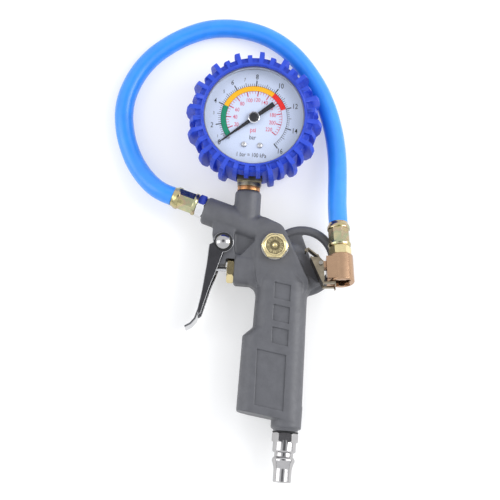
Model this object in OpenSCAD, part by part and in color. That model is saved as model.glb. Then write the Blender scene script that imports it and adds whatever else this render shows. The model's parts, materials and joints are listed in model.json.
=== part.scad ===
// Hand-held tyre inflator with a dial gauge, a hose and a clip-on chuck.
// It lies on its left side: +Z is the dial's normal, +Y runs along the gauge stem towards the
// gauge, and +X points to the back of the grip. The origin is on the gauge axis, at the flat
// back of the rubber boot, so everything rests on z = 0.

/* [Gauge] */
// Radius over the tall lugs of the rubber boot
boot_r = 38; // [36:0.5:40]
// Depth of the boot from its flat back to its front face
boot_depth = 36; // [34:1:38]
// Number of lugs round the boot, tall and short in turn
lug_count = 32; // [24:4:36]
// Radius of the window in the boot
window_r = 27.8; // [27:0.1:28.4]

/* [Body] */
// Height of the middle plane of the casting above the surface it rests on
mid_z = 13; // [13:1:14]
// Thickness of the grip
grip_t = 26; // [24:1:26]
// Outer diameter of the valve tube
valve_tube_d = 16.7; // [16:0.1:18]
// Outer diameter of the hose port
port_d = 15.6; // [15:0.1:17]
// Middle radius of the hanging ring
ring_r = 17.4; // [16.8:0.1:18]
// Thickness of the hanging ring's round bar
ring_bar_d = 5; // [4:0.5:6]

/* [Trigger] */
// Width of the trigger's channel over both flanges
lever_w = 16; // [15.6:0.1:16.4]
// Sheet thickness of the trigger
lever_t = 1.2; // [1:0.1:1.3]
// Diameter of the trigger's pivot pin
pivot_d = 4; // [3.6:0.1:4.2]

/* [Air inlet] */
// Width over the corners of the inlet plug's hexagon
plug_hex = 14.3; // [14:0.1:15]
// Diameter of the inlet plug's nose
plug_nose_d = 10; // [9.8:0.1:10.2]

/* [Hose and chuck] */
// Outer diameter of the rubber hose
hose_d = 10.6; // [9:0.1:11]
// Length of each crimped ferrule
ferrule_l = 14.6; // [13:0.2:15]
// Outer diameter of the chuck
chuck_d = 13.8; // [13.4:0.1:14]
// Bore of the chuck's mouth, for a tyre valve
mouth_d = 8.2; // [8:0.1:8.4]

/* [Hidden] */
$fn = 96;

gap = 0.05;      // radial play where one still part sits in another
run_gap = 0.03;  // radial play of a shaft that turns

// Colours
c_cast = [0.42, 0.42, 0.44];
c_brass = [0.80, 0.66, 0.32];
c_steel = [0.80, 0.81, 0.83];
c_dark = [0.12, 0.12, 0.13];
c_zinc = [0.72, 0.68, 0.50];
c_copper = [0.76, 0.57, 0.44];
c_boot = [0.16, 0.30, 0.85];
c_hose = [0.20, 0.55, 0.95];

// Casting: neck, port, valve tube and grip
neck_top_y = -38.8;
neck_foot_y = -56;
neck_end_y = -67;
neck_top_r = 7.3;
neck_foot_r = 7.6;
neck_edge = 1.2;
web_half_t = 7.2;
thin_web_half_t = 3.2;
stem_thread_r = 4.9;
stem_thread_l = 10;
valve_y = -83.8;
valve_face_x = -4.5;
valve_bore_r = 5;
valve_corner_r = 4.6;
valve_bore_end = 23;
passage_r = 2;
cap_pos = [17, -70.6];
cap_seat_z = 23;
cap_thread_r = 4.9;
cap_washer_r = 7.4;
ring_pos = [32.6, -75.9];
pivot_pos = [-11.5, -69.9];
dome_r = 5.5;
dome_turn = 49;
lug_half_t = 6;
grip_top_y = -90;
plug_x = 30.4;
plug_top_y = -170.3;
plug_thread_r = 6.4;
plug_thread_l = 11;

// Hose route: the middle line, from the port's ferrule to the chuck's ferrule
hose_route = [
    [-41.8, -44.8, 13], [-47.5, -42.9, 12.8], [-52.8, -39.8, 11.4], [-57.8, -35.3, 9.4],
    [-62.3, -30, 7.2], [-66.2, -24.2, 5.9], [-69.4, -17.8, 5.4], [-72, -11, 5.3],
    [-73.8, -3.5, 5.3], [-74.6, 4, 5.3], [-74, 12, 5.3], [-72, 19.5, 5.3], [-69, 26.5, 5.3],
    [-65, 33, 5.3], [-60, 39, 5.3], [-54, 44.3, 5.3], [-47, 49.3, 5.3], [-39.5, 53.3, 5.3],
    [-31.5, 56.4, 5.3], [-23, 58, 5.3], [-14.5, 58.3, 5.3], [-6, 57.4, 5.3], [2, 55.3, 5.3],
    [10, 51.7, 5.3], [17.5, 46.6, 5.3], [24, 40.5, 5.3], [30, 33.3, 5.3], [35, 26, 5.3],
    [39, 18.5, 5.3], [42.3, 10.5, 5.6], [45, 2, 6.4], [47, -7, 8], [48.3, -16, 10],
    [49, -25, 12], [49.4, -34, 14], [49.9, -43.7, 16], [50.85, -53, 18.1], [51, -54.24, 18.4]
];
port_turn = 16;                    // the port leans this far above the -X direction
hose_nut_l = 4.4;
port_start = hose_route[0];
port_back = ferrule_l + hose_nut_l;
port_l = 34;
port_drop = 1.1;                   // the tube is heavier on its lower side
port_edge = 1.2;
port_face = [port_start[0] + port_back * cos(port_turn),
             port_start[1] - port_back * sin(port_turn), mid_z];

// Chuck: its own +Z runs from the hose to the mouth, and its own +Y points up
chuck_tilt = 77;
chuck_turn = 6.5;
chuck_start = hose_route[len(hose_route) - 1];
chuck_adapter_l = 5.1;
chuck_mouth_z = 35.5;
chuck_body_z = ferrule_l + chuck_adapter_l;
chuck_spigot_l = 2.6;
seal_z = 23.4;
seal_room = 4;
clip_pivot = [-11.1, 25];
clip_half_w = 4.2;
clip_t = 0.8;
clip_tab_w = 4.4;
clip_prong_w = 2;

// Gauge internals
dial_z = 26.4;
dial_t = 0.6;
glass_z = 29.6;
glass_t = 1.6;
case_r = 29.7;
case_wall = 0.8;
case_top = 31.25;
zero_angle = 220;                  // the pointer's rest, anticlockwise from +X
gear_ratio = 8;
pinion_teeth = 8;
tooth_module = 0.3;
pinion_r = pinion_teeth * tooth_module / 2;
sector_r = pinion_r * gear_ratio;
sector_pos = [pinion_r + sector_r, 0];
gear_z = 18.6;
gear_t = 1.6;
tooth_out = 0.24;
tooth_in = 0.36;
lower_plate_z = 16.2;
upper_plate_z = 23.2;
plate_t = 1.2;
link_z = 21.4;
arm_z = 17;
tail_l = 6;
bourdon_r = 20;
tip_pin_y = 6;

// ---------------------------------------------------------------- helpers

// Cylinder along +Y from its start to its end
module y_rod(start, end, r1, r2) {
    translate(start)
        rotate([-90, 0, 0])
            cylinder(h = end - start[1], r1 = r1, r2 = r2);
}

// Cylinder along +X
module x_rod(start, length, r) {
    translate(start)
        rotate([0, 90, 0])
            cylinder(h = length, r = r);
}

// Hexagonal bar along +Z, given over its corners
module hex_bar(corners, h) {
    cylinder(h = h, d = corners, $fn = 6);
}

// Hexagon with its corners turned off at both ends, as on a nut
module hex_nut(corners, h) {
    intersection() {
        hex_bar(corners, h);
        rotate_extrude()
            polygon([[0, 0], [corners / 2 - 0.7, 0], [corners / 2, 0.6], [corners / 2, h - 0.6],
                     [corners / 2 - 0.7, h], [0, h]]);
    }
}

// Rectangle with round corners, made of squares and circles
module round_rect(w, h, r) {
    square([w - 2 * r, h], center = true);
    square([w, h - 2 * r], center = true);
    for (sx = [-1, 1], sy = [-1, 1])
        translate([sx * (w / 2 - r), sy * (h / 2 - r)])
            circle(r = r);
}

// One thin cross-section of the grip, from its front to its back
module grip_slice(front, back, y, t, r) {
    translate([(front + back) / 2, y, mid_z])
        rotate([90, 0, 0])
            linear_extrude(0.02)
                round_rect(back - front, t, r, $fn = 32);
}

// Tube swept along points: rings of a given number of sides, each square to the path
function unit(v) = v / norm(v);
function path_dir(p, i) =
    i == 0 ? unit(p[1] - p[0])
    : i == len(p) - 1 ? unit(p[i] - p[i - 1])
    : unit(unit(p[i + 1] - p[i]) + unit(p[i] - p[i - 1]));
function side_dir(d) = unit(cross(abs(d[2]) > 0.9 ? [1, 0, 0] : [0, 0, 1], d));
function ring_points(p, i, r, n, d) =
    let (s = side_dir(d), u = cross(d, s))
    [for (k = [0 : n - 1]) p[i] + r * (cos(360 * k / n) * s + sin(360 * k / n) * u)];
module swept_tube(p, r, n, first_dir, last_dir) {
    last = len(p) - 1;
    points = [for (i = [0 : last])
        each ring_points(p, i, r, n,
            i == 0 ? first_dir : i == last ? last_dir : path_dir(p, i))];
    sides = [for (i = [0 : last - 1], k = [0 : n - 1])
        [i * n + k, i * n + (k + 1) % n, (i + 1) * n + (k + 1) % n, (i + 1) * n + k]];
    polyhedron(points,
        concat([[for (k = [n - 1 : -1 : 0]) k]], sides, [[for (k = [0 : n - 1]) last * n + k]]),
        convexity = 8);
}

// Coil spring along +Z
module coil(r, wire_r, h, turns) {
    steps = 14 * turns;
    route = [for (i = [0 : steps])
        [r * cos(360 * turns * i / steps), r * sin(360 * turns * i / steps), h * i / steps]];
    swept_tube(route, wire_r, 6, path_dir(route, 0), path_dir(route, steps));
}

// Outline that a bent sheet of one thickness has, from the points of its outer side
function left_of(a, b) = let (d = unit(b - a)) [-d[1], d[0]];
function sheet_inner(p, t) = [for (i = [0 : len(p) - 1])
    let (n = i == 0 ? left_of(p[0], p[1])
        : i == len(p) - 1 ? left_of(p[i - 1], p[i])
        : unit(left_of(p[i - 1], p[i]) + left_of(p[i], p[i + 1])))
    p[i] + t * n];
module bent_sheet(p, t, h) {
    inner = sheet_inner(p, t);
    linear_extrude(h)
        polygon(concat(p, [for (i = [len(p) - 1 : -1 : 0]) inner[i]]));
}

// Puts a piece made along its own +Z into place on the hose port, z = 0 at the port's face
module on_port() {
    translate(port_face)
        rotate([0, 0, 180 - port_turn])
            rotate([0, 90, 0])
                children();
}

// Puts a piece made in the chuck's own frame into place
module on_chuck() {
    translate(chuck_start)
        rotate([chuck_tilt, 0, chuck_turn])
            children();
}

// ---------------------------------------------------------------- casting

// Thick part of the head, from the neck down to the top of the grip
module head_block() {
    hull() {
        for (c = [[9.5, -57.3, 3.6, 7], [16, -63, 6.3, 9], [19.5, -67, 5, 9.6],
                  [8.5, -70, 3, web_half_t], [8, -76, 3, web_half_t],
                  [16, -88, 8, 10.3], [30, -90, 7, 10.5]])
            translate([c[0], c[1], mid_z - c[3]])
                cylinder(h = 2 * c[3], r = c[2], $fn = 32);
    }
    // The back slopes down to the tip where the hanging ring ends
    hull() {
        for (c = [[21, -76, 7, 8], [27.5, -71.4, 4.6, 4.4], [36, -80.8, 4.6, 3.4],
                  [43, -86.6, 2.3, 3.2], [32, -91, 5, 8]])
            translate([c[0], c[1], mid_z - c[3]])
                cylinder(h = 2 * c[3], r = c[2], $fn = 32);
    }
}

// Valve tube: square in section with large round corners, and a bevel at its mouth
module valve_tube() {
    for (step = [[0, 1.6, 0.8], [0.8, 0, 22]])
        translate([valve_face_x + step[0], valve_y, mid_z])
            rotate([90, 0, 90])
                linear_extrude(step[2] + 0.01)
                    round_rect(valve_tube_d - step[1], valve_tube_d - step[1],
                        valve_corner_r - step[1] / 2);
}

// Flat web between the hose port and the valve tube, cut off by a slanting edge
module web_plate() {
    translate([0, 0, mid_z - web_half_t])
        linear_extrude(2 * web_half_t)
            polygon([[5.4, -68.2], [-2.2, -77.2], [-2.2, -80], [14, -80], [14, -62], [8, -62]]);
}

// Fillet between the valve tube's underside and the front of the grip, in rounded layers
module front_fillet() {
    for (layer = [[7.6, 1], [6.4, 0.4], [5, 0]])
        translate([0, 0, mid_z - layer[0]])
            linear_extrude(2 * layer[0])
                difference() {
                    polygon([[3.6, -90.5], [11, -90.5], [11, -97], [8.6, -97]]);
                    translate([3.6, -96.7])
                        circle(r = 4.5 + layer[1]);
                }
}

// Sweep of metal that fairs the tip of the head into the back of the grip
module rear_fillet() {
    for (layer = [[7.4, 1.8], [6.6, 0.9], [5.4, 0.3], [4, 0]])
        translate([0, 0, mid_z - layer[0]])
            linear_extrude(2 * layer[0])
                difference() {
                    polygon([[32, -86], [36.5, -84.6],
                             [45 - 0.9 * layer[1], -88.2 - 0.3 * layer[1]],
                             [36.6, -100], [30, -100]]);
                    translate([46.8, -98.8])
                        circle(r = 10.2 + layer[1]);
                }
}

module grip_blank() {
    r = 8.5;
    hull() {
        grip_slice(9, 33, -80.5, 19, r);
        grip_slice(8.5, 36.6, grip_top_y, grip_t, r);
    }
    hull() {
        grip_slice(8.5, 36.6, grip_top_y, grip_t, r);
        grip_slice(8.2, 37.2, -115.5, grip_t, r);
    }
    hull() {
        grip_slice(8.2, 37.2, -115.5, grip_t, r);
        grip_slice(3, 37.4, -120.5, grip_t, r);
    }
    // The foot is cut off square to the leaning panels
    intersection() {
        hull() {
            grip_slice(3, 37.4, -120.5, grip_t, r);
            grip_slice(2.8, 38.6, -167, grip_t, r);
        }
        translate([-5, 0, 0])
            linear_extrude(grip_t)
                polygon([[0, -110], [60, -110], [60, -168.2], [0, -160.2]]);
    }
}

// Socket at the foot of the grip that the inlet plug screws into, with a bevelled end
module plug_socket() {
    for (step = [[0, 1.6, 1.7], [1.6, 0, 12]])
        translate([plug_x, plug_top_y + step[0], mid_z])
            rotate([-90, 0, 0])
                linear_extrude(step[2])
                    round_rect(16.4 - 2 * step[1], 25 - 2 * step[1], 7.8 - step[1]);
}

// Shallow panel pressed into a side of the grip, with its lower edge sloping
module panel_cut(left, top, w, h) {
    slope = 0.15;
    linear_extrude(1.4)
        polygon([[left, top], [left + w, top - slope * w],
                 [left + w + 0.02 * h, top - slope * w - h], [left + 0.03 * h, top - h]]);
}

module side_panels() {
    for (k = [0 : 2])
        translate([0, -12.3 * k, 0])
            panel_cut(18.5 + 0.25 * k, -90.5, 8.9, 8.9);
    panel_cut(11.6, -127.8, 16, 30.2);
}

// Plate between the trigger's flanges that carries the pivot pin, and the thinner web behind it
module pivot_lug() {
    translate([0, 0, mid_z - lug_half_t])
        linear_extrude(2 * lug_half_t) {
            translate(pivot_pos)
                circle(r = 5.2);
            polygon([[-18, -58], [-18, -66], [-16.7, -69.5], [-14.6, -74], [-14.2, -81.9],
                     [-4, -81.9], [-4.6, -76.5], [-5.6, -70], [-6, -56]]);
        }
    translate([0, 0, mid_z - thin_web_half_t])
        linear_extrude(2 * thin_web_half_t)
            polygon([[-12, -56], [-12, -81.9], [-2, -81.9], [-2, -77], [6, -68], [6, -56]]);
}

// Round bar that closes the loop behind the head, with the thin web in its corner
module hanging_ring() {
    translate([ring_pos[0], ring_pos[1], mid_z])
        rotate_extrude()
            translate([ring_r, 0])
                circle(d = ring_bar_d, $fn = 24);
    translate([0, 0, mid_z - 0.9])
        linear_extrude(1.8)
            polygon([[22, -64], [25.6, -62.6], [31.1, -60.2], [38.3, -76.5], [30, -74]]);
}

module body_bores() {
    // Stem thread and its passage down to the port's passage
    y_rod([0, neck_top_y - stem_thread_l - 2, mid_z], neck_top_y + 1,
        stem_thread_r + gap, stem_thread_r + gap);
    y_rod([0, -57, mid_z], neck_top_y - stem_thread_l, 1.6, 1.6);
    // Hose port
    on_port()
        translate([0, 0, -9])
            cylinder(h = 10, r = stem_thread_r + gap);
    on_port()
        translate([0, 0, -33])
            cylinder(h = 25, r = 1.9);
    // Valve chamber, and the passages that meet it
    x_rod([valve_face_x - 1, valve_y, mid_z], valve_bore_end - valve_face_x + 1, valve_bore_r);
    x_rod([valve_bore_end - 1, valve_y, mid_z], plug_x - valve_bore_end + 1, 2.6);
    y_rod([7, valve_y, mid_z], -57.5, passage_r, passage_r);
    x_rod([7, cap_pos[1], mid_z + 1.5], cap_pos[0] - 7, 1.4);
    // Side plug's thread and the flat that its washer sits on
    translate([cap_pos[0], cap_pos[1], mid_z])
        cylinder(h = 20, r = cap_thread_r + gap);
    translate([cap_pos[0], cap_pos[1], cap_seat_z])
        cylinder(h = 5, r = cap_washer_r + 0.3);
    // Room to turn the gland nut
    x_rod([valve_face_x - 5, valve_y, mid_z], 5, 7.75);
    // Inlet, from the foot of the grip up to the valve
    y_rod([plug_x, plug_top_y - 1, mid_z], plug_top_y + plug_thread_l + 1,
        plug_thread_r + gap, plug_thread_r + gap);
    y_rod([plug_x, plug_top_y + plug_thread_l, mid_z], valve_y + 1, 3.2, 3.2);
    // Pivot pin
    translate([pivot_pos[0], pivot_pos[1], 0])
        cylinder(h = 2 * mid_z, d = pivot_d + 0.04);
}

module gun_body() {
    color(c_cast)
        difference() {
            union() {
                y_rod([0, neck_end_y, mid_z], neck_foot_y + 0.01, 3, neck_foot_r);
                y_rod([0, neck_foot_y, mid_z], neck_top_y - neck_edge, neck_foot_r, neck_top_r);
                y_rod([0, neck_top_y - neck_edge - 0.01, mid_z], neck_top_y,
                    neck_top_r, neck_top_r - neck_edge);
                on_port()
                    translate([0, port_drop, -port_l])
                        cylinder(h = port_l - port_edge, d = port_d);
                on_port()
                    translate([0, port_drop, -port_edge - 0.01])
                        cylinder(h = port_edge + 0.01, d1 = port_d, d2 = port_d - 2 * port_edge);
                valve_tube();
                web_plate();
                // Round boss under the side plug
                translate([cap_pos[0], cap_pos[1], mid_z])
                    cylinder(h = cap_seat_z - mid_z, r = 8.6);
                head_block();
                front_fillet();
                rear_fillet();
                grip_blank();
                plug_socket();
                pivot_lug();
                hanging_ring();
            }
            body_bores();
            translate([0, 0, 2 * mid_z - 0.7])
                side_panels();
            translate([0, 0, 0.7 - 1.4])
                side_panels();
        }
}

// ---------------------------------------------------------------- air inlet

module inlet_plug() {
    hex_l = 5.9;
    color(c_steel)
        difference() {
            union() {
                y_rod([plug_x, plug_top_y, mid_z], plug_top_y + plug_thread_l,
                    plug_thread_r, plug_thread_r - 0.4);
                translate([plug_x, plug_top_y - 0.9, mid_z])
                    rotate([90, 0, 0])
                        hex_nut(plug_hex, hex_l - 0.9);
                y_rod([plug_x, plug_top_y - 0.9, mid_z], plug_top_y, 5.6, 5.6);
                // Collar, locking groove, shoulder and nose
                translate([plug_x, plug_top_y, mid_z])
                    rotate([90, 0, 0])
                        rotate_extrude()
                            polygon([[0, hex_l - 1], [6.35, hex_l - 1], [6.35, 10.6],
                                [5.95, 11.2], [5.15, 11.6], [5.15, 13.6], [5.9, 14.4],
                                [6.2, 15.2], [6.2, 16.1], [5.6, 17.6], [5.2, 19.2],
                                [plug_nose_d / 2, 20.4], [plug_nose_d / 2, 27],
                                [plug_nose_d / 2 - 0.5, 27.4], [0, 27.4]]);
            }
            y_rod([plug_x, plug_top_y - 30, mid_z], plug_top_y + plug_thread_l + 1, 3, 3);
        }
}

module inlet_seal() {
    color(c_dark)
        translate([plug_x, plug_top_y - 0.85, mid_z])
            rotate([-90, 0, 0])
                difference() {
                    cylinder(h = 0.8, r = 7);
                    translate([0, 0, -1])
                        cylinder(h = 3, r = 5.65);
                }
}

// ---------------------------------------------------------------- side plug

module side_cap_nut() {
    color(c_brass)
        translate([cap_pos[0], cap_pos[1], cap_seat_z + 0.8])
            difference() {
                union() {
                    hex_nut(15.2, 3);
                    // Round face with a raised rim, a groove inside it and a domed middle
                    rotate_extrude()
                        polygon([[0, 0], [6.3, 0], [6.3, 3.1], [6, 3.5], [5.6, 3.5], [5.3, 3.1],
                                 [4.6, 3.1], [3, 3.4], [0, 3.5]]);
                    translate([0, 0, -8.8])
                        cylinder(h = 9, r = cap_thread_r);
                }
                // Centre mark
                translate([0, 0, 2.7])
                    cylinder(h = 1, r1 = 0.2, r2 = 1.3);
            }
}

module side_cap_washer() {
    color(c_steel)
        translate([cap_pos[0], cap_pos[1], cap_seat_z])
            difference() {
                cylinder(h = 0.8, r = cap_washer_r);
                translate([0, 0, -1])
                    cylinder(h = 3, r = cap_thread_r + 0.1);
            }
}

// ---------------------------------------------------------------- valve

module valve_gland_nut() {
    color(c_brass)
        translate([valve_face_x, valve_y, mid_z])
            rotate([0, -90, 0])
                difference() {
                    union() {
                        rotate([0, 0, 30])
                            hex_nut(15, 3.9);
                        translate([0, 0, -8])
                            cylinder(h = 8.1, r = valve_bore_r - gap);
                    }
                    translate([0, 0, -9])
                        cylinder(h = 20, r = 1.25 + run_gap);
                }
}

module gland_seal() {
    color(c_dark)
        x_rod_ring(3.7, 1.5, valve_bore_r - 0.3, 1.4);
}

// Ring round the valve's axis
module x_rod_ring(x, length, r_out, r_in) {
    translate([x, valve_y, mid_z])
        rotate([0, 90, 0])
            difference() {
                cylinder(h = length, r = r_out);
                translate([0, 0, -1])
                    cylinder(h = length + 2, r = r_in);
            }
}

module valve_seat() {
    color(c_brass)
        x_rod_ring(9, 3, valve_bore_r - gap, 2.2);
}

module push_rod() {
    color(c_steel) {
        x_rod([-17.2, valve_y, mid_z], 29.05, 1.25);
        translate([-17.2, valve_y, mid_z])
            sphere(r = 1.25);
    }
}

module valve_poppet() {
    color(c_brass) {
        x_rod([12.9, valve_y, mid_z], 2.2, 3.9);
        x_rod([15.1, valve_y, mid_z], 3, 1.6);
        x_rod([11.95, valve_y, mid_z], 1, 1.4);
    }
}

module poppet_seal() {
    color(c_dark)
        x_rod_ring(12.1, 0.75, 3.6, 1.5);
}

module valve_spring() {
    color(c_steel)
        translate([15.35, valve_y, mid_z])
            rotate([0, 90, 0])
                coil(2.6, 0.25, 7.35, 6);
}

// ---------------------------------------------------------------- trigger

// Outer side of the trigger's front plate, from its top edge to its curled tip
lever_front = [[-19.2, -71.8], [-19.7, -82.6], [-21.2, -98.7], [-22.6, -107.7],
               [-24.1, -113], [-26.2, -115.8], [-29.2, -117.7]];
lever_side = [[-19.2, -71.8], [-16.9, -70.4], [-11.5, -64.5], [-6.2, -68.6], [-6.6, -72.4],
              [-11, -75.4], [-12.7, -81.4], [-14.2, -86.9], [-16.7, -94.5], [-20.6, -110],
              [-22.2, -111.4], [-22.6, -107.7], [-21.2, -98.7], [-19.7, -82.6]];

module trigger_lever() {
    low_z = mid_z - lever_w / 2;
    color(c_steel)
        difference() {
            union() {
                for (z = [low_z, low_z + lever_w - lever_t])
                    translate([0, 0, z])
                        linear_extrude(lever_t) {
                            polygon([for (i = [0 : len(lever_side) - 1])
                                if (i < 2 || i > 4) lever_side[i]]);
                            translate(pivot_pos)
                                circle(r = 5.8);
                        }
                translate([0, 0, low_z])
                    bent_sheet(lever_front, lever_t, lever_w);
            }
            translate([pivot_pos[0], pivot_pos[1], -1])
                cylinder(h = 40, d = pivot_d + 0.1);
        }
}

module trigger_pin() {
    color(c_steel)
        translate([pivot_pos[0], pivot_pos[1], 0]) {
            translate([0, 0, 3.4])
                cylinder(h = 19, d = pivot_d);
            // Domed head
            translate([0, 0, 21.8])
                rotate_extrude()
                    polygon(concat([[0, 0]], [for (i = [8 : -1 : 0])
                        [dome_r * sin(dome_turn * i / 8),
                         0.5 + dome_r * (cos(dome_turn * i / 8) - cos(dome_turn))]]));
        }
}

module pin_washer() {
    color(c_dark)
        translate([pivot_pos[0], pivot_pos[1], mid_z + lever_w / 2 + 0.05])
            difference() {
                cylinder(h = 0.7, r = 4.95);
                translate([0, 0, -1])
                    cylinder(h = 3, d = pivot_d + 0.1);
            }
}

module pin_end_ring() {
    color(c_steel)
        translate([pivot_pos[0], pivot_pos[1], 3.6])
            difference() {
                cylinder(h = 1.2, r = 3.4);
                translate([0, 0, -1])
                    cylinder(h = 4, d = pivot_d + 0.02);
            }
}

// ---------------------------------------------------------------- gauge

// Block inside the case that carries the movement and the tube
module socket_block() {
    translate([-5.5, -31, 8.2])
        cube([11, 18.5, lower_plate_z - 8.2]);
}

module gauge_socket() {
    half = 6.8;
    color(c_brass)
        difference() {
            union() {
                socket_block();
                // Square for the wrench
                translate([-half, -34.1, mid_z - half])
                    cube([2 * half, 4.5, 2 * half]);
                y_rod([0, -36.4, mid_z], -34, 6.5, 6.5);
                y_rod([0, neck_top_y - stem_thread_l, mid_z], -36.3, stem_thread_r, stem_thread_r);
            }
            y_rod([0, neck_top_y - 20, mid_z], -16, 1.5, 1.5);
        }
}

module stem_washer() {
    color(c_copper)
        y_ring(-38.75, -36.45, 6.3, stem_thread_r + gap);
}

module y_ring(start_y, end_y, r_out, r_in) {
    difference() {
        y_rod([0, start_y, mid_z], end_y, r_out, r_out);
        y_rod([0, start_y - 1, mid_z], end_y + 1, r_in, r_in);
    }
}

// Outline of one lug in its own radial plane
function lug_outline(r) = [[31, 2.4], [r - 4, 2.4], [r - 3, 4.6], [r - 0.5, 15], [r, 24],
                           [r - 0.6, boot_depth - 7], [r - 2.4, boot_depth], [29.4, boot_depth],
                           [31, boot_depth - 2]];

module gauge_boot() {
    lug_w = 2.4;
    lug_turn = -3;     // the lugs stand this far round from the stem's line
    color(c_boot)
        difference() {
            union() {
                rotate_extrude(convexity = 6)
                    polygon([[0, 0], [30.6, 0], [31.8, 1.4], [32.7, 12], [33, 25],
                        [32.4, boot_depth - 1.6], [29.6, boot_depth - 1.4],
                        [29.4, boot_depth], [28.4, boot_depth], [window_r, boot_depth - 1],
                        [window_r, boot_depth - 2], [30, boot_depth - 2.4], [30, 2], [0, 2]]);
                for (k = [0 : lug_count - 1]) {
                    turn = -90 + lug_turn + k * 360 / lug_count;
                    near_stem = k < 2 || k > lug_count - 2;
                    r = near_stem ? 34.6 : k % 2 == 0 ? boot_r : boot_r - 2;
                    rotate([0, 0, turn])
                        translate([0, lug_w / 2, 0])
                            rotate([90, 0, 0])
                                linear_extrude(lug_w)
                                    polygon(lug_outline(r));
                }
            }
            // Hole for the stem
            translate([-7.1, -45, mid_z - 7.2])
                cube([14.2, 20, 20.4]);
        }
}

module gauge_case() {
    color(c_dark)
        difference() {
            translate([0, 0, 2])
                cylinder(h = case_top - 2, r = case_r);
            translate([0, 0, 2 + case_wall])
                cylinder(h = 40, r = case_r - case_wall);
            translate([-7, -40, mid_z - 7])
                cube([14, 20, 14]);
        }
}

module gauge_bezel() {
    color(c_steel)
        translate([0, 0, case_top + 0.05])
            difference() {
                cylinder(h = boot_depth - 2.5 - case_top - 0.05, r = case_r);
                translate([0, 0, -1])
                    cylinder(h = 10, r = 27.2);
            }
}

module gauge_lens() {
    color([0.85, 0.92, 0.97, 0.4])
        translate([0, 0, glass_z])
            cylinder(h = glass_t, r = case_r - case_wall - 0.2);
}

module dial_spacer() {
    color(c_steel)
        translate([0, 0, dial_z + dial_t])
            difference() {
                cylinder(h = glass_z - dial_z - dial_t, r = case_r - case_wall - 0.1);
                translate([0, 0, -1])
                    cylinder(h = 10, r = 28);
            }
}

dial_screw_pos = [[-4.4, -15.4], [4.4, -15.4]];

module dial_plate() {
    color([0.93, 0.95, 0.98])
        translate([0, 0, dial_z])
            difference() {
                cylinder(h = dial_t, r = case_r - case_wall - 0.1);
                translate([0, 0, -1])
                    cylinder(h = 3, r = 1.2);
                for (p = dial_screw_pos)
                    translate([p[0], p[1], -1])
                        cylinder(h = 3, r = 1.05);
            }
}

module dial_screws() {
    color(c_steel)
        for (p = dial_screw_pos)
            translate([p[0], p[1], 0]) {
                translate([0, 0, dial_z - 1.4])
                    cylinder(h = 2.2, r = 1);
                translate([0, 0, dial_z + dial_t])
                    rotate_extrude()
                        polygon([[0, 0], [1.7, 0], [1.6, 0.45], [1.2, 0.85], [0.6, 1.1], [0, 1.15]]);
            }
}

module pointer_stop_pin() {
    color(c_steel)
        rotate([0, 0, zero_angle + 4])
            translate([17.9, 0, dial_z + dial_t])
                cylinder(h = 1.6, r = 0.5);
}

pointer_z = 27.8;
arbor_r = 0.55;

module gauge_pointer() {
    color(c_dark)
        rotate([0, 0, zero_angle])
            translate([0, 0, pointer_z])
                difference() {
                    linear_extrude(0.5)
                        polygon([[24.4, -0.18], [24.4, 0.18], [3, 1.05], [-3, 1],
                                 [-13.5, 1.4], [-13.5, -1.4], [-3, -1], [3, -1.05]]);
                    translate([0, 0, -1])
                        cylinder(h = 3, r = arbor_r);
                }
}

module pointer_hub() {
    color(c_dark)
        difference() {
            union() {
                translate([0, 0, pointer_z - 0.5])
                    cylinder(h = 0.48, r = 2);
                translate([0, 0, pointer_z + 0.52])
                    rotate_extrude()
                        polygon([[0, 0], [3.4, 0], [3.4, 0.5], [2.9, 0.9], [0, 0.9]]);
            }
            translate([0, 0, pointer_z - 1])
                cylinder(h = 1.7, r = arbor_r);
        }
}

// One gear tooth that points along +X from the centre of its gear
module tooth(r) {
    polygon([[r - tooth_in - 0.15, -0.22], [r - tooth_in, -0.22], [r, -0.17],
             [r + tooth_out, -0.08], [r + tooth_out, 0.08], [r, 0.17], [r - tooth_in, 0.22],
             [r - tooth_in - 0.15, 0.22]]);
}

module pinion_arbor() {
    color(c_brass) {
        translate([0, 0, lower_plate_z - 0.3])
            cylinder(h = pointer_z + 1 - lower_plate_z, r = arbor_r);
        translate([0, 0, gear_z - 0.3])
            linear_extrude(gear_t + 0.6) {
                circle(r = pinion_r - tooth_in);
                for (k = [0 : pinion_teeth - 1])
                    rotate(k * 360 / pinion_teeth)
                        tooth(pinion_r);
            }
    }
}

module sector_gear() {
    pitch_angle = 360 / (pinion_teeth * gear_ratio);
    first = -7;
    last = 2;
    color(c_brass)
        translate([sector_pos[0], sector_pos[1], gear_z])
            difference() {
                linear_extrude(gear_t) {
                    // Toothed rim, spokes and hub
                    difference() {
                        intersection() {
                            circle(r = sector_r - tooth_in);
                            polygon([[0, 0], for (a = [133, 146, 159, 172, 185, 194])
                                [14 * cos(a), 14 * sin(a)]]);
                        }
                        circle(r = sector_r - 1.8);
                    }
                    for (k = [first : last])
                        rotate(180 + (k - 0.5) * pitch_angle)
                            tooth(sector_r);
                    for (a = [140, 186])
                        rotate(a)
                            translate([0, -0.7])
                                square([sector_r - 1, 1.4]);
                    circle(r = 2);
                    // Tail that the link pulls
                    translate([0, -0.9])
                        square([tail_l, 1.8]);
                    translate([tail_l, 0])
                        circle(r = 1.3);
                }
                translate([0, 0, -1])
                    cylinder(h = 5, r = 0.7 - 0.02);
                translate([tail_l, 0, -1])
                    cylinder(h = 5, r = 0.4);
            }
}

module sector_arbor() {
    color(c_steel)
        translate([sector_pos[0], sector_pos[1], lower_plate_z + 0.1])
            cylinder(h = upper_plate_z + plate_t - lower_plate_z - 0.2, r = 0.7 - 0.02);
}

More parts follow.
